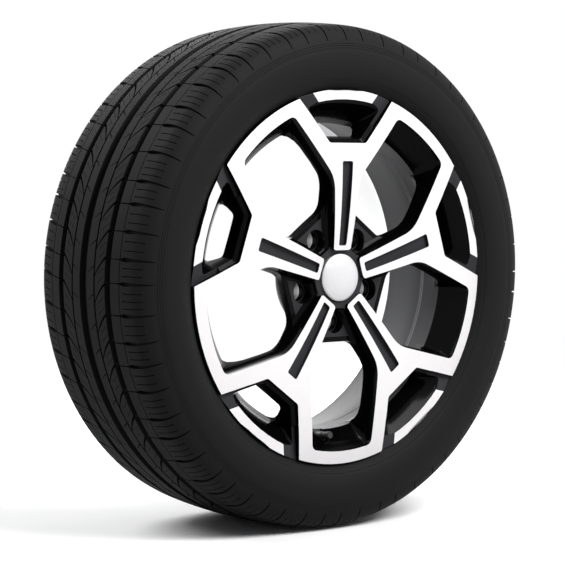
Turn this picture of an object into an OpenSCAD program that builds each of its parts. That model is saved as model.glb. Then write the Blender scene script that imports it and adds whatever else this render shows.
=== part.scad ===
// Road wheel and tyre assembly: a one piece cast alloy wheel with five split
// spokes, a tubeless radial tyre, a snap-in valve and a push-in centre cap.
// The wheel stands upright and spins about Y, its styled face towards -Y.
// The origin is on the wheel's axis, half way between the two rim flanges.

/* [Rim] */
// Diameter over the bead seats
bead_seat_d = 462; // [455:0.5:468]
// Width between the bead faces of the two flanges
rim_width = 203.2; // [196:0.1:212]
// Height of a flange above the bead seat
flange_height = 17.5; // [16:0.1:19]
// Width of a flange outside its bead face
flange_width = 11; // [10:0.1:13]
// Depth of the well below the bead seat
well_depth = 17.5; // [16:0.1:19]
// Wall of the well
well_wall = 8; // [6:0.1:9]
// Distance of the mounting face from the middle of the rim
offset = 57; // [50:0.5:58]

/* [Face] */
// Inner radius of the machined rim ring at the windows
window_r = 230.5; // [226:0.1:233]
// Inner radius of the machined rim ring over the spoke pockets
pocket_r = 235.5; // [234:0.1:238]
// How far the spokes stand proud of the rim plane
crown = 4.8; // [2:0.1:7]
// Radius at which the spokes stand most proud
crown_r = 159.5; // [140:0.5:175]
// Depth of the painted lug pads behind the rim plane
pad_depth = 17; // [14:0.5:20]
// Depth of the hub ring behind the rim plane
ring_depth = 9.5; // [7:0.1:11]

/* [Spokes] */
// Number of spokes and of wheel bolts
spokes = 5; // [5:1:5]
// Half width of a stem where it leaves the hub
stem_half = 14.4; // [12:0.1:16]
// How much wider each side of a stem gets per millimetre outwards
stem_taper = 0.079; // [0.04:0.001:0.1]
// Radius at which a stem forks into its two arms
fork_r = 133; // [128:0.5:137]
// Angle between an arm and its spoke's axis
arm_angle = 41; // [39:0.5:43]
// Width of an arm on the machined face
arm_width = 23.4; // [20:0.1:26]
// Distance of the spoke ends from the wheel's axis
spoke_end_r = 36.5; // [35.5:0.1:38]
// Length of the recessed slot in a stem
slot_length = 112; // [90:1:116]
// Width of the slot at the hub
slot_width = 12.8; // [9:0.1:15]
// Depth of the slot
slot_depth = 4.5; // [2:0.1:7]
// Extra width of a spoke on each side at its back
draft = 7; // [4:0.1:8]

/* [Hub] */
// Pitch circle diameter of the wheel bolts
bolt_pcd = 120; // [116:0.1:124]
// Bore of the bolt holes
bolt_bore_d = 15; // [13:0.1:16]
// Counterbore that takes the socket
socket_d = 30; // [27:0.1:31]
// Bore that centres the wheel on the vehicle's hub
hub_bore_d = 67.1; // [64:0.1:69]
// Diameter of the centre cap
cap_d = 63; // [60:0.1:64]

/* [Tyre] */
// Overall diameter of the tyre
tyre_d = 677.8; // [672:0.2:684]
// Section width of the tyre
section_width = 243; // [238:0.5:246]
// Drop of the tread from its middle to its edge
tread_drop = 4.5; // [3:0.1:7]
// Depth of the main grooves
groove_depth = 7.5; // [5:0.1:8.5]
// Width of the middle groove
middle_groove_w = 15; // [10:0.1:17]
// Width of the two outer grooves
outer_groove_w = 11; // [8:0.1:13]
// Distance of the outer grooves from the middle
outer_groove_at = 51.5; // [48:0.1:54]
// Distance of the thin grooves from the middle
thin_groove_at = 24.5; // [22:0.1:28]
// Width of the thin grooves
thin_groove_w = 3; // [1.5:0.1:4]
// Number of shoulder grooves on each side
pitches = 60; // [48:12:72]
// Width of a shoulder groove
lug_groove_w = 4; // [2.5:0.1:5]
// How far the tyre is pressed flat where it stands
patch_depth = 1.9; // [0.5:0.1:4]

/* [Valve] */
// Angle of the valve round the wheel, from the right hand side
valve_angle = -94; // [-98:1:-88]
// Tilt of the valve towards the wheel's axis
valve_tilt = 12; // [8:0.5:15]
// Valve hole in the rim
valve_hole_d = 11.5; // [11:0.1:12]
// Thread diameter of the stem's end
thread_d = 7.7; // [7:0.1:8]

/* [Clearances] */
// Gap between the tyre and the rim
bead_gap = 0.3; // [0.1:0.05:0.5]
// Gap round a piece that turns or slides
running_gap = 0.08; // [0.05:0.01:0.1]
// Gap between a rubber or moulded piece and its seat
seat_gap = 0.1; // [0:0.05:0.3]

/* [Hidden] */
big = 180;
rim_total = rim_width + 2 * flange_width;
seat_r = bead_seat_d / 2;
flange_r = seat_r + flange_height;
well_r = seat_r - well_depth;
barrel_r = well_r - well_wall - 1;
hub_r = hub_bore_d / 2;
bolt_r = bolt_pcd / 2;
cap_r = cap_d / 2;
cap_well_r = cap_r + 1.5;
step = 360 / spokes;
half = step / 2;
paint_machined = "#f1f1f4";
paint_rubber = "#2e2e30";
// Depths from the rim's front plane
clear_front = -14;
face_edge = 4;
knuckle = 10;
window_back = 33;
mount_depth = rim_total / 2 - offset;
through = mount_depth + 30;

// Height above the rim's middle plane of a depth behind its front plane
function lift(depth) = rim_total / 2 - depth;

// Depth of the turned face at a radius
function face(r) = crown * (pow((r - crown_r) / (flange_r - crown_r), 2) - 1);

function polar(r, a) = [r * cos(a), r * sin(a)];

function turn(p, a) = [p[0] * cos(a) - p[1] * sin(a), p[0] * sin(a) + p[1] * cos(a)];

function mirrored(points) = [for (i = [len(points) - 1:-1:0]) [-points[i][0], points[i][1]]];

// Profile points given as radius and depth, turned into radius and height
function raised(points) = [for (p = points) [p[0], lift(p[1])]];

// Where two lines meet, each given by a point and a direction
function meet(p, u, q, v) = p + u * ((q[0] - p[0]) * v[1] - (q[1] - p[1]) * v[0]) / (u[0] * v[1] - u[1] * v[0]);

// The corner q between p and s as an arc of radius r in n steps
function arc_corner(p, q, s, r, n) =
    let (a = (p - q) / norm(p - q), b = (s - q) / norm(s - q), h = acos(a * b) / 2,
        mid = q + (a + b) / norm(a + b) * r / sin(h), from = q + a * r / tan(h) - mid,
        sweep = (a[0] * b[1] - a[1] * b[0] > 0 ? -1 : 1) * (180 - 2 * h))
    [for (i = [0:n]) mid + turn(from, sweep * i / n)];

// An arc of radius r in the corner between the line through p along u and the circle of radius out
function rim_corner(p, u, side, r, out, n) =
    let (q = p - side * r, along = q * u, reach = sqrt(along * along - q * q + pow(out - r, 2)),
        mid = q + u * (reach - along), first = atan2(side[1], side[0]), last = atan2(mid[1], mid[0]))
    [for (i = [0:n]) mid + polar(r, first + (last - first) * i / n)];

// Side of a stem and outer side of an arm, at an inset from the machined edge
arm_dir = [sin(arm_angle), cos(arm_angle)];
arm_out = [cos(arm_angle), -sin(arm_angle)];
stem_dir = [stem_taper, 1] / norm([stem_taper, 1]);
function stem_point(e) = [stem_half + e, spoke_end_r];
function fork_point(e) = [stem_half + stem_taper * (fork_r - spoke_end_r), fork_r] + e * arm_out;

// Outline of the gap between two spokes about +Y: inset e, outer radius out, inner side at near,
// with the radii of its inner and fork corners
function gap_outline(e, out, near, near_r, fork_round) =
    let (s = turn([-stem_point(e)[0], stem_point(e)[1]], -half),
        su = turn([-stem_dir[0], stem_dir[1]], -half),
        f = turn([-fork_point(e)[0], fork_point(e)[1]], -half),
        fu = turn([-arm_dir[0], arm_dir[1]], -half),
        side = turn([arm_out[0] * -1, arm_out[1]], -half),
        inner = meet(s, su, [0, near], [1, 0]),
        knee = meet(s, su, f, fu),
        rim = rim_corner(f, fu, -side, 9, out, 4),
        right = concat(arc_corner([0, near], inner, knee, near_r, 4),
            arc_corner(inner, knee, knee + fu * 40, fork_round, 5), rim),
        last = right[len(right) - 1],
        a0 = atan2(last[1], last[0]))
    concat(right, [for (i = [1:11]) polar(out, a0 + (180 - 2 * a0) * i / 12)], mirrored(right));

// Outline of the pocket between the two arms of the spoke along +Y
pocket_near = fork_r + 45;
pocket_half = 31.5;
function pocket_outline(e, out, round) =
    let (p = [pocket_half + e * (tan(arm_angle) - 1 / cos(arm_angle)), pocket_near + e],
        rim = rim_corner(p, arm_dir, arm_out, round / 2, out, 2),
        right = concat(arc_corner([0, p[1]], p, p + arm_dir * 40, round, 4), rim),
        last = right[len(right) - 1],
        a0 = atan2(last[1], last[0]))
    concat(right, [for (i = [1:7]) polar(out, a0 + (180 - 2 * a0) * i / 8)], mirrored(right));

// Solid through a stack of outlines with equal numbers of points, the deepest first
module loft(rings, depths) {
    n = len(rings[0]);
    top = (len(rings) - 1) * n;
    points = [for (k = [0:len(rings) - 1]) for (p = rings[k]) [p[0], p[1], lift(depths[k])]];
    walls = [for (k = [0:len(rings) - 2]) for (i = [0:n - 1]) let (j = (i + 1) % n, a = k * n, b = a + n)
        each [[a + i, b + i, b + j], [a + i, b + j, a + j]]];
    polyhedron(points, concat([[for (i = [0:n - 1]) i]], walls, [[for (i = [n - 1:-1:0]) top + i]]));
}

module round_wheel(first = 0) {
    for (i = [0:spokes - 1])
        rotate(90 + first + i * step) children();
}

// Revolve of a profile given as radius and depth
module turned(points) {
    rotate_extrude($fn = big) polygon(raised(points));
}

// Bore along the axis between two depths
module bored(r, from, to, sides = 48) {
    translate([0, 0, lift(to)]) cylinder(r = r, h = to - from, $fn = sides);
}

// Section of the casting: flanges, bead seats, well, barrel and the disc behind the face
flange_edge = 5.5;
bead_in = flange_width + 3.5;
seat_end = flange_width + 20;
hump = seat_end + 3;
function tyre_side(s) = [for (p = [[flange_r - 1.2, 0], [flange_r, 1.2], [flange_r, flange_edge],
    [flange_r - 1.8, flange_edge + 3], [flange_r - 5.5, flange_width - 0.5], [flange_r - 11, flange_width],
    [seat_r + 1.2, flange_width + 1], [seat_r, bead_in], [seat_r - 1.4, seat_end], [seat_r - 0.7, hump],
    [seat_r - 1.2, hump + 3]]) [p[0], s > 0 ? p[1] : rim_total - p[1]]];
ring_line = 66;
taper_end = 153;
core_r = 20;
spoke_back = 19.5;
pad_back = 28.5;
module casting_blank() {
    front = [for (r = [flange_r - 7, flange_r - 20, 216, 200, 180, 160, 140, 120, 95, 70, 50, core_r]) [r, face(r)]];
    turned(concat(
        tyre_side(1),
        [[seat_r - 9, hump + 9], [well_r + 1.5, hump + 14], [well_r, hump + 17], [well_r, 80],
            [well_r + 12.5, taper_end - 3]],
        [for (i = [10:-1:0]) tyre_side(-1)[i]],
        [[flange_r - 5.5, rim_total], [flange_r - 8, rim_total - 3], [flange_r - 16, rim_total - 7.5],
            [seat_r - 5, rim_total - 14], [seat_r - 6.5, rim_total - 27], [seat_r - 9.5, taper_end],
            [barrel_r + 2.9, 80], [barrel_r + 2.6, ring_line + 5], [barrel_r + 1.4, ring_line + 3],
            [barrel_r + 1.9, ring_line + 1.5], [barrel_r + 0.7, ring_line - 0.5], [barrel_r, window_back + 14],
            [barrel_r - 1.5, window_back + 3], [barrel_r - 5.5, 29], [192, 23.5], [183, 21], [160, spoke_back],
            [140, spoke_back + 0.5], [120, 22.5], [100, 26], [88, pad_back], [83, pad_back + 2], [79, pad_back + 6],
            [77.5, 44], [bolt_r + 14, mount_depth - 3], [bolt_r + 11.5, mount_depth], [core_r, mount_depth]],
        [for (i = [len(front) - 1:-1:0]) front[i]]));
}

module window_cut() {
    loft([gap_outline(draft, barrel_r, 87.5, 20, 40), gap_outline(draft, barrel_r, 87.5, 20, 40),
            gap_outline(2.6, window_r - 4.5, 85.5, 20, 44)],
        [through, window_back, knuckle - 3]);
}

// Painted hollow between two stems, from the machined face down to the lug pad
module gap_cut() {
    pad_inset = 9;
    loft([gap_outline(pad_inset, window_r - 14, 46, 2, 38), gap_outline(4.5, window_r - 10, 42.5, 3, 42),
            gap_outline(2, window_r - 6, 41, 3, 44), gap_outline(0, window_r, 40, 3, 46),
            gap_outline(0, window_r, 40, 3, 46)],
        [pad_depth, pad_depth - 3, knuckle, face_edge, clear_front]);
}

// Through pocket between the arms, with a narrow ledge below its machined edge
module pocket_cut() {
    loft([pocket_outline(9, barrel_r - 8, 8), pocket_outline(9, barrel_r - 2, 8), pocket_outline(9, barrel_r + 4.5, 8),
            pocket_outline(8.5, pocket_r - 18, 8), pocket_outline(5.5, pocket_r - 3.5, 6),
            pocket_outline(0.3, pocket_r, 6), pocket_outline(0, pocket_r, 6)],
        [through, window_back + 16, window_back, 20, face_edge + 0.5, 2.5, clear_front]);
}

// The rim over a pocket: its machined band is a little lower, with a sloped facet at each end
segment_drop = 1.5;
facet_width = 25;
facet_depth = 6;
module rim_facets() {
    at = fork_r + 67;
    start = [pocket_half + (at - pocket_near) * tan(arm_angle), at];
    reach = 62;
    translate([0, 0, lift(segment_drop)])
        linear_extrude(segment_drop - clear_front)
            polygon(concat([for (a = [76:7:104]) polar(pocket_r - 4, a)],
                [start - [2 * start[0], 0] + [-reach * arm_dir[0], reach * arm_dir[1]], start + reach * arm_dir]));
    for (side = [0, 1])
        mirror([side, 0, 0])
            translate([start[0], start[1], 0]) rotate(-arm_angle)
                rotate([90, 0, 0]) translate([0, 0, -reach])
                    linear_extrude(reach)
                        polygon([[0, lift(facet_depth)], [0, lift(clear_front)], [-facet_width, lift(clear_front)],
                            [-facet_width, lift(segment_drop)]]);
}

// Recessed slot along a stem, its floor parallel to the face
module slot_cut() {
    near = spoke_end_r + 6.5;
    far = near + slot_length;
    tip = slot_width / 2 + 2.7;
    slope = atan((face(near) - face(far)) / slot_length);
    base = [[-slot_width / 2, 0], [slot_width / 2, 0], [tip, slot_length], [-tip, slot_length]];
    translate([0, near, lift(face(near) + slot_depth)]) rotate([slope, 0, 0])
        linear_extrude(slot_depth + 20)
            polygon([for (i = [0:3]) each arc_corner(base[(i + 3) % 4], base[i], base[(i + 1) % 4], 2.6, 3)]);
}

// The ends of the stems over the hub ring, with rounded corners that start just outside the stems' sides
module ring_cut() {
    corner = stem_point(0.6);
    right = arc_corner(corner + [stem_taper * 8, 8], corner, [0, corner[1]], 5, 4);
    stem_end = concat(right, mirrored(right));
    translate([0, 0, lift(ring_depth)])
        linear_extrude(ring_depth - clear_front)
            polygon([for (i = [0:spokes - 1]) each concat(
                [for (p = stem_end) turn(p, i * step)], [polar(corner[1] + 10, 90 + half + i * step)])]);
}

cap_seat_depth = 15;
cap_bore_r = cap_r - 3.5;
cap_bore_end = 27;
module hub_bores() {
    bored(cap_well_r, clear_front, cap_seat_depth, 96);
    bored(cap_bore_r, clear_front, cap_bore_end + 4, 96);
    bored(cap_bore_r + 1.2, cap_bore_end - 5, cap_bore_end + 4, 96);
    bored(hub_r, cap_bore_end + 3, through, 96);
    translate([0, 0, lift(mount_depth + 1)])
        cylinder(r1 = hub_r + 3, r2 = hub_r, h = 3, $fn = 96);
}

seat_depth = 44;
module bolt_hole() {
    bored(bolt_bore_d / 2, clear_front, through);
    bored(socket_d / 2, clear_front, pad_depth + 13);
    bored(socket_d / 2 - 2, clear_front, seat_depth - 5);
    translate([0, 0, lift(seat_depth)])
        cylinder(r1 = bolt_bore_d / 2, r2 = socket_d / 2 - 2, h = 5, $fn = 48);
}

// Cast hollows that lighten the back: between the bolts, and along each stem
hollow_top = 11;
module back_hollows() {
    translate([0, bolt_r - 1, lift(mount_depth + 1)]) cylinder(r = 11, h = 15, $fn = 48);
    translate([0, 90, lift(through)]) cylinder(r = 9, h = through - hollow_top, $fn = 48);
    translate([0, 126, lift(through)]) cylinder(r = 9, h = through - hollow_top, $fn = 48);
    translate([-9, 90, lift(through)]) cube([18, 36, through - hollow_top]);
}

valve_r = well_r + 3;
valve_d = hump + 6;
// Places its children with +Z along the valve, outboard, and z = 0 on the rubber's inner shoulder
module at_valve() {
    rotate(valve_angle) translate([valve_r, 0, lift(valve_d)]) rotate([0, -valve_tilt, 0]) children();
}

// Hole for the valve, with a flat for its rubber foot and a recess open to the barrel round its neck
valve_wall = 4;
foot_flat_r = 9.7;
neck_recess_r = 10;
module valve_pocket() {
    cylinder(r = valve_hole_d / 2, h = 80, center = true, $fn = 48);
    translate([0, 0, valve_wall]) cylinder(r = neck_recess_r, h = 60, $fn = 48);
    translate([-30, -neck_recess_r, valve_wall]) cube([30, 2 * neck_recess_r, 60]);
    translate([0, 0, -20]) cylinder(r = foot_flat_r, h = 20, $fn = 48);
}

module alloy_wheel() {
    color(paint_machined)
        difference() {
            difference() {
                difference() {
                    difference() {
                        rotate([90, 0, 0]) casting_blank();
                        rotate([90, 0, 0]) round_wheel(half) rotate(-90) gap_cut();
                    }
                    rotate([90, 0, 0]) round_wheel(half) rotate(-90) window_cut();
                }
                rotate([90, 0, 0]) round_wheel() rotate(-90) pocket_cut();
                rotate([90, 0, 0]) round_wheel() rotate(-90) rim_facets();
            }
            rotate([90, 0, 0]) {
                round_wheel() rotate(-90) slot_cut();
                round_wheel() rotate(-90) back_hollows();
                round_wheel(half) rotate(-90) translate([0, bolt_r, 0]) bolt_hole();
                ring_cut();
                hub_bores();
                at_valve() valve_pocket();
            }
        }
}

// Rise of the tread's surface at a distance from its middle
tyre_r = tyre_d / 2;
tread_edge = 88;
function tread(y) = tyre_r - tread_drop * pow(y / tread_edge, 2);

wall_half = section_width / 2;
bead_side = rim_total / 2;
groove_draft = 0.8;
function groove(y, w, deep) = [[tread(y - w / 2), y - w / 2], [tread(y) - deep, y - w / 2 + groove_draft],
    [tread(y) - deep, y + w / 2 - groove_draft], [tread(y + w / 2), y + w / 2]];

// Outline of one side of the tyre from the tread's edge to the toe of the bead, as radius and height
function tyre_flank() = concat(
    [[tyre_r - 4.5, 87.6], [tyre_r - 6.4, 97.6], [tyre_r - 9.9, wall_half - 16.9], [tyre_r - 13.9, wall_half - 12.1],
        [tyre_r - 20.9, wall_half - 7.4], [tyre_r - 28.9, wall_half - 4.4], [tyre_r - 43.9, wall_half - 0.7],
        [tyre_r - 53.9, wall_half], [tyre_r - 63.9, wall_half - 0.7], [tyre_r - 73.9, wall_half - 3.4],
        [flange_r + 8.5, bead_side + 1], [flange_r + 3.5, bead_side - 3], [flange_r + 1, bead_side - flange_edge + 0.6]],
    [for (i = [2:7]) [tyre_side(1)[i][0] + bead_gap, bead_side - tyre_side(1)[i][1] - bead_gap]],
    [[seat_r - 1.2 + bead_gap, bead_side - seat_end + 1.5]]);

// Inside of the casing, from the toe of the bead to the middle of the crown
function tyre_inside() = [[seat_r + 4, bead_side - seat_end + 4], [flange_r + 1, 96.5], [flange_r + 13, 106.5],
    [flange_r + 29, wall_half - 9], [tyre_r - 43, wall_half - 8], [tyre_r - 31, wall_half - 12],
    [tyre_r - 23, 101.5], [tyre_r - 18.4, 92], [tyre_r - 15.5, 60]];

function below(points) = [for (i = [len(points) - 1:-1:0]) [points[i][0], -points[i][1]]];

module tyre_blank() {
    grooves = concat(groove(0, middle_groove_w, groove_depth), groove(thin_groove_at, thin_groove_w, groove_depth - 1),
        groove(outer_groove_at, outer_groove_w, groove_depth), groove(shoulder_line_at, shoulder_line_w, 1.6));
    crown_line = [for (p = grooves) if (p[1] > 0) p];
    rotate_extrude($fn = big)
        polygon(concat(crown_line, tyre_flank(), tyre_inside(), [[tyre_r - 13.5, 0]], below(tyre_inside()),
            below(tyre_flank()), below(crown_line)));
}

// Shoulder grooves come in short, middling and long pitches, in an order that keeps them from humming
pitch_order = [2, 2, 0, 1, 1, 0, 2, 1, 0, 1, 2, 0];
pitch_sizes = [0.86, 1, 1.14];
function summed(n) = n == 0 ? 0 : pitch_sizes[pitch_order[n - 1]] + summed(n - 1);
function pitch_angle(i) = (floor(i / 12) * 12 + summed(i % 12)) * 360 / pitches;

shoulder_line_at = 74.6;
shoulder_line_w = 1.4;
lug_line = shoulder_line_at + shoulder_line_w / 2;
// Section of a shoulder groove, from the shoulder line out and round the shoulder
module lug_profile() {
    polygon([[tread(lug_line) - groove_depth + 1.5, lug_line], [tyre_r - 11.5, 92], [tyre_r - 16.5, wall_half - 19],
        [tyre_r - 23, wall_half - 11.5], [tyre_r - 29.5, wall_half - 2], [tyre_r - 29, wall_half + 12],
        [tyre_r + 9, wall_half + 12], [tyre_r + 9, lug_line]]);
}

module shoulder_grooves() {
    sweep = lug_groove_w / tyre_r * 180 / PI;
    for (i = [0:pitches - 1])
        rotate(pitch_angle(i))
            rotate_extrude(angle = sweep, $fn = big) lug_profile();
}

// The ground, which flattens the tread under the wheel
module ground() {
    translate([-tyre_r, -section_width, -tyre_r - 10])
        cube([2 * tyre_r, 2 * section_width, 10 + patch_depth]);
}

module tyre() {
    color(paint_rubber)
        difference() {
            difference() {
                rotate([90, 0, 0]) tyre_blank();
                ground();
            }
            rotate([90, 0, 0]) shoulder_grooves();
            rotate([90, 0, 0]) mirror([0, 0, 1]) shoulder_grooves();
        }
}

// Moulded cap that clips into the wheel's centre bore with six hooked legs
cap_skirt_r = cap_r - 0.8;
leg_r = cap_bore_r - 3 * seat_gap;
leg_inner = leg_r - 2.4;
hook_r = cap_bore_r + 0.9;
undercut = cap_bore_end - 5;
cap_floor = 9.5;
legs = 6;
leg_angle = 34;
module centre_cap() {
    color("#ececee")
        rotate([90, 0, 0]) {
            turned([[0, 2], [8, 2.1], [16, 2.7], [23, 3.9], [cap_r - 2.6, 5.5], [cap_r - 0.6, 6.6], [cap_r, 7.4],
                [cap_r, 8.8], [cap_skirt_r, cap_floor], [cap_skirt_r, cap_seat_depth - seat_gap],
                [leg_inner - 1.2, cap_seat_depth - seat_gap], [leg_inner - 1.2, 6], [18, 5], [0, 4.4]]);
            for (i = [0:legs - 1])
                rotate(i * 360 / legs)
                    rotate_extrude(angle = leg_angle, $fn = big)
                        polygon(raised([[leg_inner, cap_seat_depth - 1], [leg_r, cap_seat_depth - 1], [leg_r, undercut + 0.4],
                            [hook_r, undercut + 0.5], [hook_r, undercut + 1.6], [leg_r - 0.6, undercut + 4],
                            [leg_inner, undercut + 4]]));
        }
}

// Wire ring that spreads the legs, resting inside them
wire_r = 0.9;
module cap_spring_ring() {
    color("#b9bcc0")
        rotate([90, 0, 0])
            rotate_extrude($fn = big)
                translate([leg_inner - wire_r - seat_gap, lift(undercut + 1.5)]) circle(r = wire_r, $fn = 24);
}

// Snap-in valve: the rubber body grips the edge of the hole in the well
stem_r = 3.1;
thread_r = thread_d / 2;
bulb_top = 22;
stem_top = 31;
stem_foot = -8.3;
stem_step = 16;
module valve_rubber() {
    neck = valve_hole_d / 2 - seat_gap;
    bore = stem_r + seat_gap;
    color("#222224")
        rotate([90, 0, 0]) at_valve()
            rotate_extrude($fn = 48)
                polygon([[bore, stem_foot + 0.3], [bore + 1.4, stem_foot + 0.3], [7.4, -6.6], [9.2, -4.4], [9.2, -seat_gap],
                    [neck, -seat_gap], [neck, valve_wall + seat_gap], [7.8, valve_wall + seat_gap], [7.9, 6.2],
                    [7.1, 9], [6.5, 13], [6.1, 20.6], [5.4, bulb_top], [thread_r + seat_gap, bulb_top],
                    [thread_r + seat_gap, stem_step - seat_gap], [bore, stem_step - seat_gap]]);
}

core_thread_r = 2.65;
core_bore_r = 2.1;
seal_seat = 14;
plug_foot = 25;
plug_top = 30;
module valve_stem() {
    color("#c9a45c")
        rotate([90, 0, 0]) at_valve()
            rotate_extrude($fn = 48)
                polygon([[1.5, stem_foot], [stem_r, stem_foot], [stem_r, stem_step], [thread_r, stem_step],
                    [thread_r, stem_top - 0.6], [thread_r - 0.6, stem_top], [core_thread_r + 0.4, stem_top],
                    [core_thread_r, stem_top - 0.4], [core_thread_r, plug_foot - 0.4], [core_bore_r, plug_foot - 1],
                    [core_bore_r, seal_seat + 2], [1.5, seal_seat + 1]]);
}

barrel_foot = 14.4;
gasket_foot = 16.2;
gasket_top = 18.4;
barrel_out = 1.85;
pin_r = 0.45;
pin_hole = pin_r + running_gap + 0.02;
spring_foot = 19;
spring_top = 23.2;
collar_top = 24;
module core_barrel() {
    color("#c9a45c")
        rotate([90, 0, 0]) at_valve()
            difference() {
                rotate_extrude($fn = 48)
                    polygon([[pin_hole, barrel_foot], [1.2, barrel_foot], [1.35, gasket_foot], [1.3, gasket_foot],
                        [1.3, gasket_top], [barrel_out, gasket_top], [barrel_out, plug_foot],
                        [core_thread_r - running_gap, plug_foot], [core_thread_r - running_gap, plug_top],
                        [1.3, plug_top], [1.3, plug_top - 1.5], [pin_hole, plug_top - 1.5], [pin_hole, collar_top + 0.6],
                        [1.5, collar_top + 0.4], [1.5, spring_foot], [pin_hole, spring_foot]]);
                for (side = [-1, 1])
                    translate([side * 2.6, 0, plug_top]) cube([1.6, 6, 5], center = true);
            }
}

module core_gasket() {
    color("#e6e3da")
        rotate([90, 0, 0]) at_valve()
            rotate_extrude($fn = 48)
                polygon([[1.36, gasket_foot + 0.05], [1.6, gasket_foot + 0.05], [core_bore_r - 0.05, gasket_foot + 0.6],
                    [core_bore_r - 0.05, gasket_top - 0.05], [1.36, gasket_top - 0.05]]);
}

spring_r = 1.12;
spring_wire = 0.16;
coils = 5;
coil_steps = 10;
// Wire wound up round the pin: rings of six points joined into one closed tube
module core_spring() {
    n = coils * coil_steps;
    rise = (spring_top - spring_foot - 2 * spring_wire - 0.1) / n;
    points = [for (i = [0:n]) let (a = i * 360 / coil_steps) for (k = [0:5]) let (q = polar(spring_wire, k * 60))
        [(spring_r + q[0]) * cos(a), (spring_r + q[0]) * sin(a), spring_foot + 0.05 + spring_wire + i * rise + q[1]]];
    walls = [for (i = [0:n - 1]) for (k = [0:5]) let (a = 6 * i + k, b = 6 * i + (k + 1) % 6)
        each [[a, b, b + 6], [a, b + 6, a + 6]]];
    color("#b9bcc0")
        rotate([90, 0, 0]) at_valve()
            polyhedron(points, concat([[for (k = [5:-1:0]) k]], walls, [[for (k = [0:5]) 6 * n + k]]));
}

pin_foot = 12.6;
module core_pin() {
    color("#d8d8da")
        rotate([90, 0, 0]) at_valve()
            rotate_extrude($fn = 32)
                polygon([[0, pin_foot], [1.1, pin_foot], [1.1, pin_foot + 0.8], [pin_r, pin_foot + 0.8],
                    [pin_r, spring_top], [1.2, spring_top], [1.2, collar_top], [pin_r, collar_top],
                    [pin_r, plug_top + 0.2], [0.8, plug_top + 0.3], [0.8, plug_top + 0.7], [0, plug_top + 0.8]]);
}

module core_seal() {
    color("#1c1c1e")
        rotate([90, 0, 0]) at_valve()
            rotate_extrude($fn = 32)
                polygon([[pin_r + 0.03, pin_foot + 0.85], [1.2, pin_foot + 0.85], [1.2, barrel_foot - 0.05],
                    [pin_r + 0.03, barrel_foot - 0.05]]);
}

cap_top = 35.4;
cap_inside = 32.2;
gasket_r = 3.3;
module cap_gasket() {
    color("#1c1c1e")
        rotate([90, 0, 0]) at_valve()
            rotate_extrude($fn = 48)
                polygon([[1.6, stem_top + 0.1], [gasket_r, stem_top + 0.1], [gasket_r, cap_inside - 0.1], [1.6, cap_inside - 0.1]]);
}

flutes = 16;
module valve_cap() {
    bore = thread_r + running_gap;
    outer = 5;
    color("#18181a")
        rotate([90, 0, 0]) at_valve()
            difference() {
                rotate_extrude($fn = 48)
                    polygon([[bore + 0.3, bulb_top + 0.5], [outer, bulb_top + 0.5], [outer, cap_top - 1], [outer - 1, cap_top],
                        [0, cap_top], [0, cap_inside], [gasket_r + 0.1, cap_inside], [gasket_r + 0.1, stem_top],
                        [bore, stem_top - 0.2], [bore, bulb_top + 0.8]]);
                for (i = [0:flutes - 1])
                    rotate(i * 360 / flutes)
                        translate([outer + 0.35, 0, bulb_top + 2.5]) cylinder(r = 0.75, h = 20, $fn = 16);
            }
}

alloy_wheel();
tyre();
centre_cap();
cap_spring_ring();
valve_rubber();
valve_stem();
core_barrel();
core_gasket();
core_spring();
core_pin();
core_seal();
cap_gasket();
valve_cap();
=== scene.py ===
import math

import bmesh
import bpy
from mathutils import Matrix, Vector


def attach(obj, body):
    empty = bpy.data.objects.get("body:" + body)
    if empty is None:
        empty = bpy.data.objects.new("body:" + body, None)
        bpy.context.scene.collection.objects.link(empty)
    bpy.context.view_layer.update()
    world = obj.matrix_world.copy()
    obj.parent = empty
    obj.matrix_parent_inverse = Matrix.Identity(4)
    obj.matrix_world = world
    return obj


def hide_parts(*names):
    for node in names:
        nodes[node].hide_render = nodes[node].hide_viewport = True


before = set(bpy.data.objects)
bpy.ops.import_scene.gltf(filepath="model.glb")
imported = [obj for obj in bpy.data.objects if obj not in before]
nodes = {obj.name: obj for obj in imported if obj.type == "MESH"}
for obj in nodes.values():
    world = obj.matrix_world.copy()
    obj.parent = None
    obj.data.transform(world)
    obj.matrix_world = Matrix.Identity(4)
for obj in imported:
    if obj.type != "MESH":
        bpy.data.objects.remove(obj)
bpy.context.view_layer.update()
scene = bpy.context.scene

# The camera: a long lens to the left of the wheel and a little above its axle.
# Its place and turn were fitted to the outlines of rim and tyre in the photograph.
CAMERA_PLACE = (-1.86905, -2.25673, 0.17834)
CAMERA_TURN = (86.2643, -0.8071, -39.3951)
LENS = 137.27
SENSOR_WIDTH = 36
PHOTO_SIDE = 565

camera_data = bpy.data.cameras.new("camera")
camera_data.lens = LENS
camera_data.sensor_width = SENSOR_WIDTH
camera = bpy.data.objects.new("camera", camera_data)
camera.location = CAMERA_PLACE
camera.rotation_euler = [math.radians(a) for a in CAMERA_TURN]
scene.collection.objects.link(camera)
scene.camera = camera
scene.render.resolution_x = PHOTO_SIDE
scene.render.resolution_y = PHOTO_SIDE
scene.view_settings.view_transform = "Standard"

# The studio's walls: white as the camera and bright metal see them, but dim as a light,
# so that the soft lamps alone shape the wheel.
WHITE = (1, 1, 1, 1)
AMBIENT_TINT = (0.93, 0.95, 1, 1)
AMBIENT_STRENGTH = 0.1


def node(tree, kind, inputs=None, **settings):
    """Adds a shader node. An input is a value, a socket, or a node, which gives its first output."""
    made = tree.nodes.new("ShaderNode" + kind)
    for key, value in settings.items():
        setattr(made, key, value)
    for key, value in (inputs or {}).items():
        if isinstance(value, bpy.types.Node):
            value = value.outputs[0]
        if isinstance(value, bpy.types.NodeSocket):
            tree.links.new(value, made.inputs[key])
        else:
            made.inputs[key].default_value = value
    return made


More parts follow.
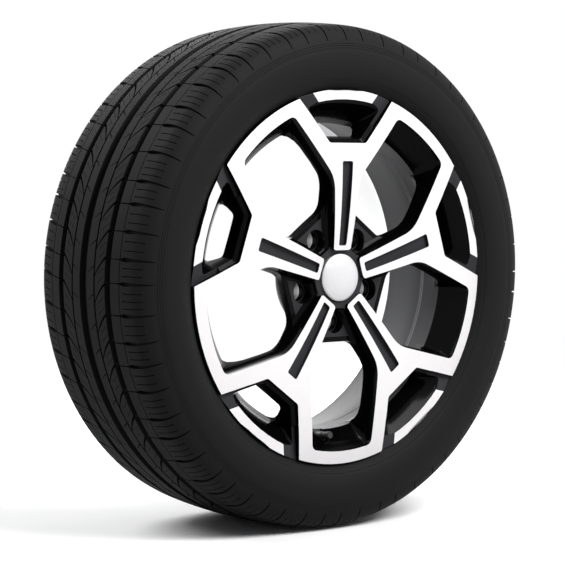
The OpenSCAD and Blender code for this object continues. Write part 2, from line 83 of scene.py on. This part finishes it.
world = bpy.data.worlds.new("studio")
scene.world = world
world.use_nodes = True
sky = world.node_tree
sky.nodes.clear()
rays = node(sky, "LightPath").outputs
mirrored = node(sky, "Math", {0: rays["Is Glossy Ray"], 1: rays["Is Transmission Ray"]}, operation="MAXIMUM")
shown = node(sky, "Math", {0: rays["Is Camera Ray"], 1: mirrored}, operation="MAXIMUM")
direct = node(sky, "Background", {"Color": WHITE, "Strength": 1.0})
ambient = node(sky, "Background", {"Color": AMBIENT_TINT, "Strength": AMBIENT_STRENGTH})
either = node(sky, "MixShader", {0: shown, 1: ambient, 2: direct})
node(sky, "OutputWorld", {"Surface": either})

# The floor: a sheet of matt white paper under the tyre's flat patch. The camera sees it paler
# than it is, so that only the strong part of the shadow shows, and it fades out at its edge.
STANDING_RADIUS = 337.0
FLOOR_GAP = 0.0002
FLOOR_RADIUS = 2.6
FADE_START = 1.1
FADE_END = 2.4
PAPER_LIT = (0.35, 0.35, 0.35, 1)
PAPER_SHOWN = (1.42, 1.42, 1.42, 1)


def new_object(name, bm):
    mesh = bpy.data.meshes.new(name)
    bm.to_mesh(mesh)
    bm.free()
    obj = bpy.data.objects.new(name, mesh)
    scene.collection.objects.link(obj)
    return obj


def material(name):
    made = bpy.data.materials.new(name)
    made.use_nodes = True
    tree = made.node_tree
    return made, tree, tree.nodes["Principled BSDF"]


def paint(obj, *materials):
    obj.data.materials.clear()
    for one in materials:
        obj.data.materials.append(one)


bm = bmesh.new()
bmesh.ops.create_circle(bm, cap_ends=True, segments=96, radius=FLOOR_RADIUS)
floor = new_object("floor", bm)
floor.location = (0, 0, -STANDING_RADIUS / 1000 - FLOOR_GAP)
floor_look, tree, shader = material("floor_white")
shader.inputs["Roughness"].default_value = 0.9
shader.inputs["Specular IOR Level"].default_value = 0
rays = node(tree, "LightPath").outputs
mirrored = node(tree, "Mix", {0: rays["Is Glossy Ray"], 6: PAPER_LIT, 7: WHITE}, data_type="RGBA").outputs[2]
paper = node(tree, "Mix", {0: rays["Is Camera Ray"], 6: mirrored, 7: PAPER_SHOWN}, data_type="RGBA").outputs[2]
tree.links.new(paper, shader.inputs["Base Color"])
place = node(tree, "TexCoord").outputs["Object"]
far = node(tree, "VectorMath", {0: place}, operation="LENGTH").outputs["Value"]
fade_range = {"Value": far, "From Min": FADE_START, "From Max": FADE_END}
fade = node(tree, "MapRange", fade_range, interpolation_type="SMOOTHSTEP")
clear = node(tree, "BsdfTransparent")
mix = node(tree, "MixShader", {0: fade, 1: shader, 2: clear})
tree.links.new(mix.outputs[0], tree.nodes["Material Output"].inputs["Surface"])
paint(floor, floor_look)


# The lamps: four large soft boxes that don't show. One fills the face from the right, one is
# above it, and two behind the wheel light the tread and, through the openings, the barrel.
def soft_light(name, where, aim, size, power):
    data = bpy.data.lights.new(name, "AREA")
    data.shape = "RECTANGLE"
    data.size, data.size_y = size
    data.energy = power
    lamp = bpy.data.objects.new(name, data)
    lamp.location = where
    lamp.rotation_euler = (Vector(aim) - Vector(where)).to_track_quat("-Z", "Y").to_euler()
    lamp.visible_camera = False
    scene.collection.objects.link(lamp)


MIDDLE = (0, 0, 0)
TREAD_TOP = (-0.2, 0, 0.1)
soft_light("face_light", (2.05, -2.5, 0.1), MIDDLE, (2.8, 2.4), 9)
soft_light("top_light", (0.7, -2.1, 2.1), MIDDLE, (1.6, 1.6), 90)
soft_light("tread_light", (-1.6, 1.2, 2.0), TREAD_TOP, (1.4, 1.4), 42)
soft_light("barrel_light", (0.9, 2.4, 0.9), MIDDLE, (2.0, 1.6), 32)

# The tyre: one moulding of black rubber, 245/45 R18, held on the rim by its own beads. Its tread
# has three wide grooves, two thin ones, slanted ribs and grooved shoulders. It is modelled in
# millimetres and lies on its back, z outboard, with each point as (radius, height).
TYRE_RADIUS = 338.9
CROWN_DROP = 4.5
TREAD_HALF = 88
GROOVE_DEPTH = 7.5
SHOULDER_LINE = 74.6
FLANGE = 248.5
STEPS_AROUND = 360
GROOVED_HALF = 80
GROOVE_WALL = (0.9, 9)
CREASE = 32


def tread(y):
    return TYRE_RADIUS - CROWN_DROP * (y / TREAD_HALF) ** 2


def groove(at, width, depth, draft=0.8):
    half_width = width / 2
    floor_radius = tread(at) - depth
    near, end = at - half_width, at + half_width
    return [(tread(near), near), (floor_radius, near + draft), (floor_radius, end - draft), (tread(end), end)]


def spline(points, steps):
    """A smooth curve through the points, with that many steps from each to the next."""
    out = []
    for i in range(len(points) - 1):
        a, b, c, d = (Vector(points[min(max(k, 0), len(points) - 1)]) for k in (i - 1, i, i + 1, i + 2))
        for s in range(steps):
            t = s / steps
            bend = (2 * a - 5 * b + 4 * c - d) * t**2
            twist = (3 * b - a - 3 * c + d) * t**3
            out.append(tuple(0.5 * (2 * b + (c - a) * t + bend + twist)))
    return out + [tuple(points[-1])]


crown = [(tread(0) - GROOVE_DEPTH, 0), (tread(0) - GROOVE_DEPTH, 6.7), (tread(7.5), 7.5)]
crown += [(tread(y), y) for y in (12, 18)] + groove(24.5, 3, GROOVE_DEPTH - 1, 0.4)
crown += [(tread(y), y) for y in (30, 36, 42)] + groove(51.5, 11, GROOVE_DEPTH)
crown += [(tread(y), y) for y in (62, 68)] + groove(SHOULDER_LINE, 1.3, 1.6, 0.3)
crown += [(tread(y), y) for y in (78, 83)]
flank = spline([(334.4, 87.6), (332.5, 97.6), (329, 104.6), (325, 109.4), (318, 114.1), (310, 117.1)], 4)
flank += [(308.6, 117.5), (308.2, 117.2), (307.8, 117.75)]
flank += [(305.6, 118.35), (305.2, 118.05), (304.8, 118.6)]
flank += [(302.6, 119.2), (302.2, 118.9), (301.8, 119.4)]
flank += spline([(299, 120.0), (295, 120.8), (285, 121.5), (275, 120.9), (265, 118.1), (260.5, 115.8)], 4)
flank += [(260.1, 115.1), (259.6, 115.2)]
flank += spline([(257, 113.6), (252, 109.6), (249.6, 107.8)], 3)
bead = [(248.8, 106.8), (247.0, 103.8), (243.3, 101.8), (237.8, 101.3), (232.5, 100.3)]
bead += [(231.3, 97.8), (230.1, 83.1)]
inside = [(235, 85.6), (FLANGE + 1, 96.5), (261.5, 106.5), (277.5, 112.5), (295.9, 113.5), (307.9, 109.5)]
inside += [(315.9, 101.5), (320.5, 92), (323.4, 60), (325.4, 20)]
half = crown + flank + bead + inside
outline = half + [(r, -y) for r, y in reversed(half)][:-1]
bm = bmesh.new()
loop = [bm.verts.new((r, 0, y)) for r, y in outline]
ring = loop + [bm.edges.new((loop[i - 1], loop[i])) for i in range(len(loop))]
bmesh.ops.spin(
    bm, geom=ring, cent=(0, 0, 0), axis=(0, 0, 1), angle=2 * math.pi, steps=STEPS_AROUND, use_merge=True
)
bmesh.ops.remove_doubles(bm, verts=bm.verts, dist=0.001)
bmesh.ops.recalc_face_normals(bm, faces=bm.faces)
# Faces deep in the grooves get the second material, whose darker colour is painted shade.
for face in bm.faces:
    middle = face.calc_center_median()
    below = tread(middle.z) - math.hypot(middle.x, middle.y)
    in_groove = GROOVE_WALL[0] < below < GROOVE_WALL[1]
    face.material_index = int(abs(middle.z) < GROOVED_HALF and in_groove)
tyre = new_object("road_tyre", bm)

# The cuts in the tread: three pitch lengths, mixed as on a real tyre, where it stops a hum. Each
# pitch has a shoulder groove with fine cuts between, and a slanted cut and thin ones in the rib.
PITCHES = 60
PITCH_ORDER = [2, 2, 0, 1, 1, 0, 2, 1, 0, 1, 2, 0]
PITCH_SIZES = [0.86, 1, 1.14]
LONG_PITCH = 2
SIDES_AND_LEANS = ((1, 0.0), (-1, -0.23))
OVERHANG = 5
FLANK_START = 84
FLANK_REACH = 34
FLANK_THINNING = 0.55
RUN_OUT = (117, -0.6)
SHOULDER_PATH = [(y, tread(y)) for y in (56, 66, 74, 80, 87.6)]
SHOULDER_PATH += [(97.6, 332.5), (104.6, 329), (109.4, 325), (114.1, 318), (117.6, 309.5)]
SLANTED_CUT = [(47.5, -11.5, 2.1), (43, -8, 2.2), (38, -3, 2.1)]
SLANTED_CUT += [(33, 3, 1.9), (29, 8.5, 1.6), (25.2, 14.5, 1.3)]
THIN_CUT = [(43.5, -7, 0.4), (38, -2.5, 0.4)]
MIDDLE_CUT = [(24.2, -5, 0.8), (18, -1.5, 0.8), (12, 3.5, 0.6)]


def blade(bm, angle, stations, side):
    """A closed blade through stations (foot radius, foot y, top radius, top y, sideways shift, half width)."""
    rings = []
    for foot_r, foot_y, top_r, top_y, shift, half_width in stations:
        corners = ((foot_r, foot_y, -1), (foot_r, foot_y, 1), (top_r, top_y, 1), (top_r, top_y, -1))
        ring = []
        for r, y, s in corners:
            a = angle + (shift + s * half_width) / TYRE_RADIUS
            ring.append(bm.verts.new((r * math.cos(a), r * math.sin(a), side * y)))
        rings.append(ring)
    for lower, upper in zip(rings, rings[1:]):
        for k in range(4):
            bm.faces.new((lower[k - 1], lower[k], upper[k], upper[k - 1]))
    bm.faces.new(rings[0])
    bm.faces.new(rings[-1])


def rib_cut(points, depth):
    """Stations of a cut in a rib, through points (y, sideways shift, half width)."""
    return [(tread(y) - depth, y, tread(y) + 6, y, shift, half_width) for y, shift, half_width in points]


def shoulder_cut(depth, lean, half_width, first=56, last=118):
    """Stations of a groove over the shoulder, which grows shallow down the flank and runs out there."""
    stations = []
    for y, r in SHOULDER_PATH:
        if not first <= y <= last:
            continue
        steep = max(0.0, (y - FLANK_START) / FLANK_REACH)
        cut = depth * (1 - FLANK_THINNING * steep) if y < RUN_OUT[0] else RUN_OUT[1]
        out = Vector((1 - steep, steep * 1.2)).normalized()
        foot = (r - cut * out.x, y - cut * out.y)
        top = (r + OVERHANG * out.x, y + OVERHANG * out.y)
        stations.append((*foot, *top, lean * (y - 60), half_width(y)))
    return stations


def groove_half_width(y):
    return 0.8 if y < 75 else 2.7 - 0.075 * max(0, y - 90)


def fine_half_width(y):
    return 0.6


cutters = bmesh.new()
angle = 0
for i in range(PITCHES):
    size = PITCH_ORDER[i % len(PITCH_ORDER)]
    pitch = PITCH_SIZES[size] * 2 * math.pi / PITCHES
    fine_parts = (0.3, 0.54, 0.77) if size == LONG_PITCH else (0.35, 0.68)
    for side, lean in SIDES_AND_LEANS:
        blade(cutters, angle, shoulder_cut(6, lean, groove_half_width), side)
        for part in fine_parts:
            blade(cutters, angle + part * pitch, shoulder_cut(3, lean, fine_half_width, 79, 110), side)
        blade(cutters, angle + 0.3 * pitch, rib_cut(SLANTED_CUT, 5.5), side)
        for part, end in ((0.62, 31.5), (0.95, 32)):
            blade(cutters, angle + part * pitch, rib_cut(THIN_CUT + [(end, 2, 0.4)], 2), side)
        blade(cutters, angle + 0.5 * pitch, rib_cut(MIDDLE_CUT, 3), side)
    angle += pitch
bmesh.ops.recalc_face_normals(cutters, faces=cutters.faces)
# The blades' faces become the cuts' walls and floors, and so get the painted groove shade too.
for face in cutters.faces:
    face.material_index = 1
blades = new_object("blades", cutters)


def cut_away(obj, tool):
    """Subtracts tool from obj for good, and removes tool."""
    change = obj.modifiers.new("cut", "BOOLEAN")
    change.operation = "DIFFERENCE"
    change.solver = "MANIFOLD"
    change.object = tool
    result = bpy.data.meshes.new_from_object(obj.evaluated_get(bpy.context.evaluated_depsgraph_get()))
    obj.modifiers.clear()
    result.name = obj.name
    obj.data = result
    bpy.data.objects.remove(tool)


def shade(obj, limit):
    """Smooth faces, with a hard edge wherever they turn by more than limit degrees."""
    bm = bmesh.new()
    bm.from_mesh(obj.data)
    for face in bm.faces:
        face.smooth = True
    for edge in bm.edges:
        edge.smooth = len(edge.link_faces) == 2 and edge.calc_face_angle(0) < math.radians(limit)
    bm.to_mesh(obj.data)
    bm.free()


def colour(code):
    """A linear colour from an sRGB hex code."""
    values = [int(code[i : i + 2], 16) / 255 for i in (1, 3, 5)]
    return [v / 12.92 if v <= 0.04045 else ((v + 0.055) / 1.055) ** 2.4 for v in values] + [1]


def stand_up(mesh):
    """Stands a mesh that lies on its back upright, its front towards -Y, and brings it to metres."""
    mesh.transform(Matrix(((1, 0, 0, 0), (0, 0, -1, 0), (0, 1, 0, 0), (0, 0, 0, 1))) * 0.001)


# Vulcanised rubber with carbon black, as it leaves the mould: matt, with a grain too fine to see
# by itself, and a little duller in patches. The grain is about 1.1 mm, the patches about 70 mm.
# The same rubber in the grooves gets a darker colour: painted shade, for the little light that comes out of
# them.
GRAIN_SCALE = 900.0
PATCH_SCALE = 14.0
groove_painted_shade, tree, shader = material("groove_painted_shade")
shader.inputs["Base Color"].default_value = colour("#0b0b0c")
shader.inputs["Roughness"].default_value = 0.8
shader.inputs["Specular IOR Level"].default_value = 0.2
rubber, tree, shader = material("tyre_black")
shader.inputs["Base Color"].default_value = colour("#1b1b1c")
shader.inputs["Specular IOR Level"].default_value = 0.1
place = node(tree, "TexCoord").outputs["Object"]
grain = node(tree, "TexNoise", {"Vector": place, "Scale": GRAIN_SCALE, "Detail": 3.0})
bump = node(tree, "Bump", {"Height": grain, "Strength": 0.08, "Distance": 0.0004})
tree.links.new(bump.outputs[0], shader.inputs["Normal"])
wear = node(tree, "TexNoise", {"Vector": place, "Scale": PATCH_SCALE, "Detail": 4.0})
rough = node(tree, "MapRange", {"Value": wear, "To Min": 0.56, "To Max": 0.68})
tree.links.new(rough.outputs[0], shader.inputs["Roughness"])
paint(tyre, rubber, groove_painted_shade)
paint(blades, rubber, groove_painted_shade)
cut_away(tyre, blades)
shade(tyre, CREASE)
for vert in tyre.data.vertices:
    vert.co.y = max(vert.co.y, -STANDING_RADIUS)
stand_up(tyre.data)
paint(tyre, rubber, groove_painted_shade)
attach(tyre, "wheel")
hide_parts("tyre")

# The wheel: one aluminium casting, painted gloss black, its face then turned bright on a lathe
# and lacquered. The barrel behind is satin grey, and its far end is left bright from turning.
WELD = 0.000002
SLIVER = 0.000005
WHEEL_CREASE = 26
source = nodes["alloy_wheel"].data
bm = bmesh.new()
bm.from_mesh(source)
bmesh.ops.remove_doubles(bm, verts=bm.verts, dist=WELD)
bmesh.ops.dissolve_degenerate(bm, edges=bm.edges, dist=SLIVER)
wheel = new_object("cast_wheel", bm)
shade(wheel, WHEEL_CREASE)

# Where each finish lies, in metres. Depth is measured from the rim's front plane, and the face
# is a shallow crown round the wheel. The turned surfaces are the forward ones on that crown and
# on the rim's bands. The barrel's step is painted paler, and its two edges palest: a painted
# highlight where they catch the light.
RIM_FRONT = 0.1126
CROWN_RADIUS = 0.1595
CROWN_REACH = 0.089
CROWN_HEIGHT = 0.0048
FACE_SLACK = 0.0004
FORWARD_NORMAL = -0.96
BAND_RADIUS = 0.2345
BAND_DEPTH = (0.0015, 0.0003)
BARREL_RADIUS = 0.2035
BARREL_START = 0.0325
FAR_END = 0.1535
STEP_HIGHLIGHT_BAND = (0.0684, 0.0046)
OUTER_EDGE_HIGHLIGHT = (0.0662, 0.0013)
INNER_EDGE_HIGHLIGHT = (0.0701, 0.0008)
EDGE_ROUNDING = 0.0016

bright, tree, shader = material("wheel_two_tone")
place = node(tree, "TexCoord").outputs["Object"]
xyz = node(tree, "SeparateXYZ", {0: place}).outputs
flat = node(tree, "CombineXYZ", {0: xyz[0], 1: 0.0, 2: xyz[2]})
radius = node(tree, "VectorMath", {0: flat}, operation="LENGTH").outputs["Value"]
depth = node(tree, "Math", {0: xyz[1], 1: RIM_FRONT}, operation="ADD")
from_crown = node(tree, "Math", {0: radius, 1: CROWN_RADIUS}, operation="SUBTRACT")
bow = node(tree, "Math", {0: from_crown, 1: CROWN_REACH}, operation="DIVIDE")
bow_squared = node(tree, "Math", {0: bow, 1: bow}, operation="MULTIPLY")
under_crown = node(tree, "Math", {0: bow_squared, 1: 1.0}, operation="SUBTRACT")
face_depth = node(tree, "Math", {0: under_crown, 1: CROWN_HEIGHT}, operation="MULTIPLY")
on_face = node(tree, "Math", {0: depth, 1: face_depth, 2: FACE_SLACK}, operation="COMPARE")
facing = node(tree, "NewGeometry").outputs["True Normal"]
normal = node(tree, "SeparateXYZ", {0: facing}).outputs
forward = node(tree, "Math", {0: normal[1], 1: FORWARD_NORMAL}, operation="LESS_THAN")
on_rim = node(tree, "Math", {0: radius, 1: BAND_RADIUS}, operation="GREATER_THAN")
at_band = node(tree, "Math", {0: depth, 1: BAND_DEPTH[0], 2: BAND_DEPTH[1]}, operation="COMPARE")
on_band = node(tree, "Math", {0: at_band, 1: on_rim}, operation="MULTIPLY")
either = node(tree, "Math", {0: on_face, 1: on_band}, operation="MAXIMUM")
machined = node(tree, "Math", {0: either, 1: forward}, operation="MULTIPLY")
wide = node(tree, "Math", {0: radius, 1: BARREL_RADIUS}, operation="GREATER_THAN")
behind = node(tree, "Math", {0: depth, 1: BARREL_START}, operation="GREATER_THAN")
in_barrel = node(tree, "Math", {0: wide, 1: behind}, operation="MULTIPLY")
last_part = node(tree, "Math", {0: depth, 1: FAR_END}, operation="GREATER_THAN")
far_end = node(tree, "Math", {0: in_barrel, 1: last_part}, operation="MULTIPLY")
# Two thin rings at the step's edges and a wider band over the step: painted highlight.
outer_edge_highlight = node(tree, "Math", {0: depth, 1: OUTER_EDGE_HIGHLIGHT[0], 2: OUTER_EDGE_HIGHLIGHT[1]}, operation="COMPARE")
inner_edge_highlight = node(tree, "Math", {0: depth, 1: INNER_EDGE_HIGHLIGHT[0], 2: INNER_EDGE_HIGHLIGHT[1]}, operation="COMPARE")
painted_edge_highlights = node(tree, "Math", {0: outer_edge_highlight, 1: inner_edge_highlight}, operation="MAXIMUM")
painted_step_highlight = node(tree, "Math", {0: depth, 1: STEP_HIGHLIGHT_BAND[0], 2: STEP_HIGHLIGHT_BAND[1]}, operation="COMPARE")

# The spokes' slots and lug pads are told from the rest by how far a point is from the nearest
# spoke's axis (across), how far out it is along the nearest window's (along), and how far it is
# from the nearest bolt's. A pad's rim is left black, painted shade where its rounded edge turns
# away from the light, and so is all that isn't forward or a slot. The top edge of each slot's
# walls stays black too, a painted shade outline.
SPOKES = 5
BOLT_CIRCLE_RADIUS = 0.06
SLOT_HALF_WIDTH = 0.01
SLOT_REACH = 0.16
SLOT_DEPTH = 0.011
SUNK = 0.0014
PAD_RIM = 0.0795
PAD_RIM_DEPTH = (0.017, 0.002)
SEAT_RADIUS = 0.01295
SEAT_DEPTH = (0.0415, 0.003)
across = bolt = 1.0
along = -1.0
for spoke in range(SPOKES):
    a = math.radians(90 + spoke * 360 / SPOKES)
    beside = (math.sin(a), 0, -math.cos(a))
    spot = node(tree, "VectorMath", {0: flat, 1: beside}, operation="DOT_PRODUCT").outputs["Value"]
    off_axis = node(tree, "Math", {0: spot}, operation="ABSOLUTE")
    across = node(tree, "Math", {0: across, 1: off_axis}, operation="MINIMUM")
    a += math.radians(180 / SPOKES)
    way = Vector((math.cos(a), 0, math.sin(a)))
    reach = node(tree, "VectorMath", {0: flat, 1: way}, operation="DOT_PRODUCT").outputs["Value"]
    along = node(tree, "Math", {0: along, 1: reach}, operation="MAXIMUM")
    hole = way * BOLT_CIRCLE_RADIUS
    gap = node(tree, "VectorMath", {0: flat, 1: hole}, operation="DISTANCE").outputs["Value"]
    bolt = node(tree, "Math", {0: bolt, 1: gap}, operation="MINIMUM")
# The top 1.4 mm of each slot's walls stays black: a painted shade outline.
behind_face = node(tree, "Math", {0: depth, 1: face_depth}, operation="SUBTRACT")
sunk = node(tree, "Math", {0: behind_face, 1: SUNK}, operation="GREATER_THAN")
near_axis = node(tree, "Math", {0: across, 1: SLOT_HALF_WIDTH}, operation="LESS_THAN")
near_hub = node(tree, "Math", {0: radius, 1: SLOT_REACH}, operation="LESS_THAN")
in_slot = node(tree, "Math", {0: near_axis, 1: near_hub}, operation="MULTIPLY")
sunk_slot = node(tree, "Math", {0: in_slot, 1: sunk}, operation="MULTIPLY")
shallow = node(tree, "Math", {0: depth, 1: SLOT_DEPTH}, operation="LESS_THAN")
lit_slot_inside = node(tree, "Math", {0: sunk_slot, 1: shallow}, operation="MULTIPLY")
# A band along each pad's outer edge stays black: painted shade where its rounded rim turns from the light.
past_pad = node(tree, "Math", {0: along, 1: PAD_RIM}, operation="GREATER_THAN")
at_pad = node(tree, "Math", {0: depth, 1: PAD_RIM_DEPTH[0], 2: PAD_RIM_DEPTH[1]}, operation="COMPARE")
painted_rim_shade = node(tree, "Math", {0: past_pad, 1: at_pad}, operation="MULTIPLY")
outside_rim_shade = node(tree, "Math", {0: 1.0, 1: painted_rim_shade}, operation="SUBTRACT")
# Forward faces off the pads' rims, and the slots' insides, get the grey: painted light.
lit_forward_plate = node(tree, "Math", {0: forward, 1: outside_rim_shade}, operation="MULTIPLY")
painted_light_grey = node(tree, "Math", {0: lit_forward_plate, 1: lit_slot_inside}, operation="MAXIMUM")
near_bolt = node(tree, "Math", {0: bolt, 1: SEAT_RADIUS}, operation="LESS_THAN")
at_seat = node(tree, "Math", {0: depth, 1: SEAT_DEPTH[0], 2: SEAT_DEPTH[1]}, operation="COMPARE")
in_seat = node(tree, "Math", {0: near_bolt, 1: at_seat}, operation="MULTIPLY")
bare = node(tree, "Math", {0: machined, 1: in_seat}, operation="MAXIMUM")

# Gloss black paint, whose slightly rounded edges catch some light. Over the same black paint, the
# forward faces and the slots' insides are given a satin dark grey: painted light, for the extra
# light they catch, which keeps them visible beside the black.
edge = node(tree, "Bevel", {"Radius": EDGE_ROUNDING}, samples=6)
gloss = {"Base Color": colour("#060607"), "Roughness": 0.12, "Specular IOR Level": 0.06, "Normal": edge}
black = node(tree, "BsdfPrincipled", gloss)
dull = {"Base Color": colour("#353538"), "Roughness": 0.5, "Specular IOR Level": 0.12, "Normal": edge}
satin_painted_light = node(tree, "BsdfPrincipled", dull)
painted = node(tree, "MixShader", {0: painted_light_grey, 1: black, 2: satin_painted_light})

# Satin grey paint in the barrel. The step is painted paler and its edges palest, a painted highlight where
# they catch the light.
step_highlight_colours = {0: painted_step_highlight, 6: colour("#444447"), 7: colour("#6e6e72")}
step_highlight_paint = node(tree, "Mix", step_highlight_colours, data_type="RGBA").outputs[2]
edge_highlight_colours = {0: painted_edge_highlights, 6: step_highlight_paint, 7: colour("#9a9a9e")}
barrel_paint_and_highlights = node(tree, "Mix", edge_highlight_colours, data_type="RGBA").outputs[2]
grey = node(tree, "BsdfPrincipled", {"Base Color": barrel_paint_and_highlights, "Roughness": 0.5, "Specular IOR Level": 0.3})

# Turned aluminium under clear lacquer: bright, with soft reflections and rings from the tool,
# drawn about ten times coarser than the real feed of some 0.2 mm, so that they can show at all.
TOOL_MARK_SCALE = 180.0
rings = {"Vector": place, "Scale": TOOL_MARK_SCALE, "Distortion": 0.0}
lathe = node(tree, "TexWave", rings, wave_type="RINGS", rings_direction="Y")
cut_lines = node(tree, "Bump", {"Height": lathe, "Strength": 0.05, "Distance": 0.0001})
turned = {"Base Color": colour("#e3e1e2"), "Metallic": 0.9, "Roughness": 0.42, "Normal": cut_lines}
silver = node(tree, "BsdfPrincipled", turned)

# The barrel's far end is bare and bright, a little greyer high up.
UP_HIGH = (0.165, 0.185)
up_high = node(tree, "MapRange", {"Value": xyz[2], "From Min": UP_HIGH[0], "From Max": UP_HIGH[1]})
far_colours = {0: up_high, 6: colour("#ffffff"), 7: colour("#acacb0")}
far_paint = node(tree, "Mix", far_colours, data_type="RGBA").outputs[2]
far_bright = node(tree, "BsdfPrincipled", {"Base Color": far_paint, "Metallic": 1.0, "Roughness": 0.25})
front = node(tree, "MixShader", {0: in_barrel, 1: painted, 2: grey})
with_far_end = node(tree, "MixShader", {0: far_end, 1: front, 2: far_bright})
whole = node(tree, "MixShader", {0: bare, 1: with_far_end, 2: silver})
tree.links.new(whole.outputs[0], tree.nodes["Material Output"].inputs["Surface"])
tree.nodes.remove(shader)
paint(wheel, bright)
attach(wheel, "wheel")
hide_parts("alloy_wheel")

# The centre cap: moulded plastic with a silver white lacquer, held in the hub by hooked legs on
# its back. The lacquer gives a soft shine, a little uneven in patches of about 3 mm.
SHEEN_SCALE = 350.0
SHEEN_SPREAD = 0.15


def finish(name, node_names, base, roughness, metallic=0.0, coat=0.0):
    """Gives CAD pieces that keep their own shape a plain finish with a slightly uneven sheen."""
    made, tree, shader = material(name)
    shader.inputs["Base Color"].default_value = colour(base)
    shader.inputs["Metallic"].default_value = metallic
    shader.inputs["Coat Weight"].default_value = coat
    place = node(tree, "TexCoord").outputs["Object"]
    noise = node(tree, "TexNoise", {"Vector": place, "Scale": SHEEN_SCALE})
    least, most = roughness * (1 - SHEEN_SPREAD), roughness * (1 + SHEEN_SPREAD)
    rough = node(tree, "MapRange", {"Value": noise, "To Min": least, "To Max": most})
    tree.links.new(rough.outputs[0], shader.inputs["Roughness"])
    for one in node_names:
        for slot in nodes[one].material_slots:
            slot.material = made


finish("cap_lacquer", ["centre_cap"], "#ecebed", 0.36, 0.3, 0.2)

# Drawn steel wire and a turned steel pin, both plated: the ring that spreads the cap's legs,
# and the spring and the pin in the valve's core. They are plain bright metal.
finish("spring_wire", ["cap_spring_ring", "core_spring", "core_pin"], "#a6a8aa", 0.3, 1.0)

# The valve's rubber: the moulded body that is pulled through the rim's hole, the washer that
# closes the core, and the disc in the dust cap. Moulded black rubber, half matt.
finish("valve_black", ["valve_rubber", "core_seal", "cap_gasket"], "#161617", 0.5)

# The valve's brass: the turned stem, bonded in the rubber, and the body of the core that screws
# into it. Yellow metal with a plain turned shine.
finish("valve_brass", ["valve_stem", "core_barrel"], "#c8a050", 0.3, 1.0)

# The core's ring seal: a white plastic ring on the core's body, pressed against the stem's
# inside when the core is screwed in. Off-white and half matt.
finish("core_ring_white", ["core_gasket"], "#e6e3da", 0.5)

# The dust cap: moulded black plastic, screwed on the end of the stem. It is half matt, like
# the rubber below it.
finish("cap_plastic", ["valve_cap"], "#141415", 0.45)
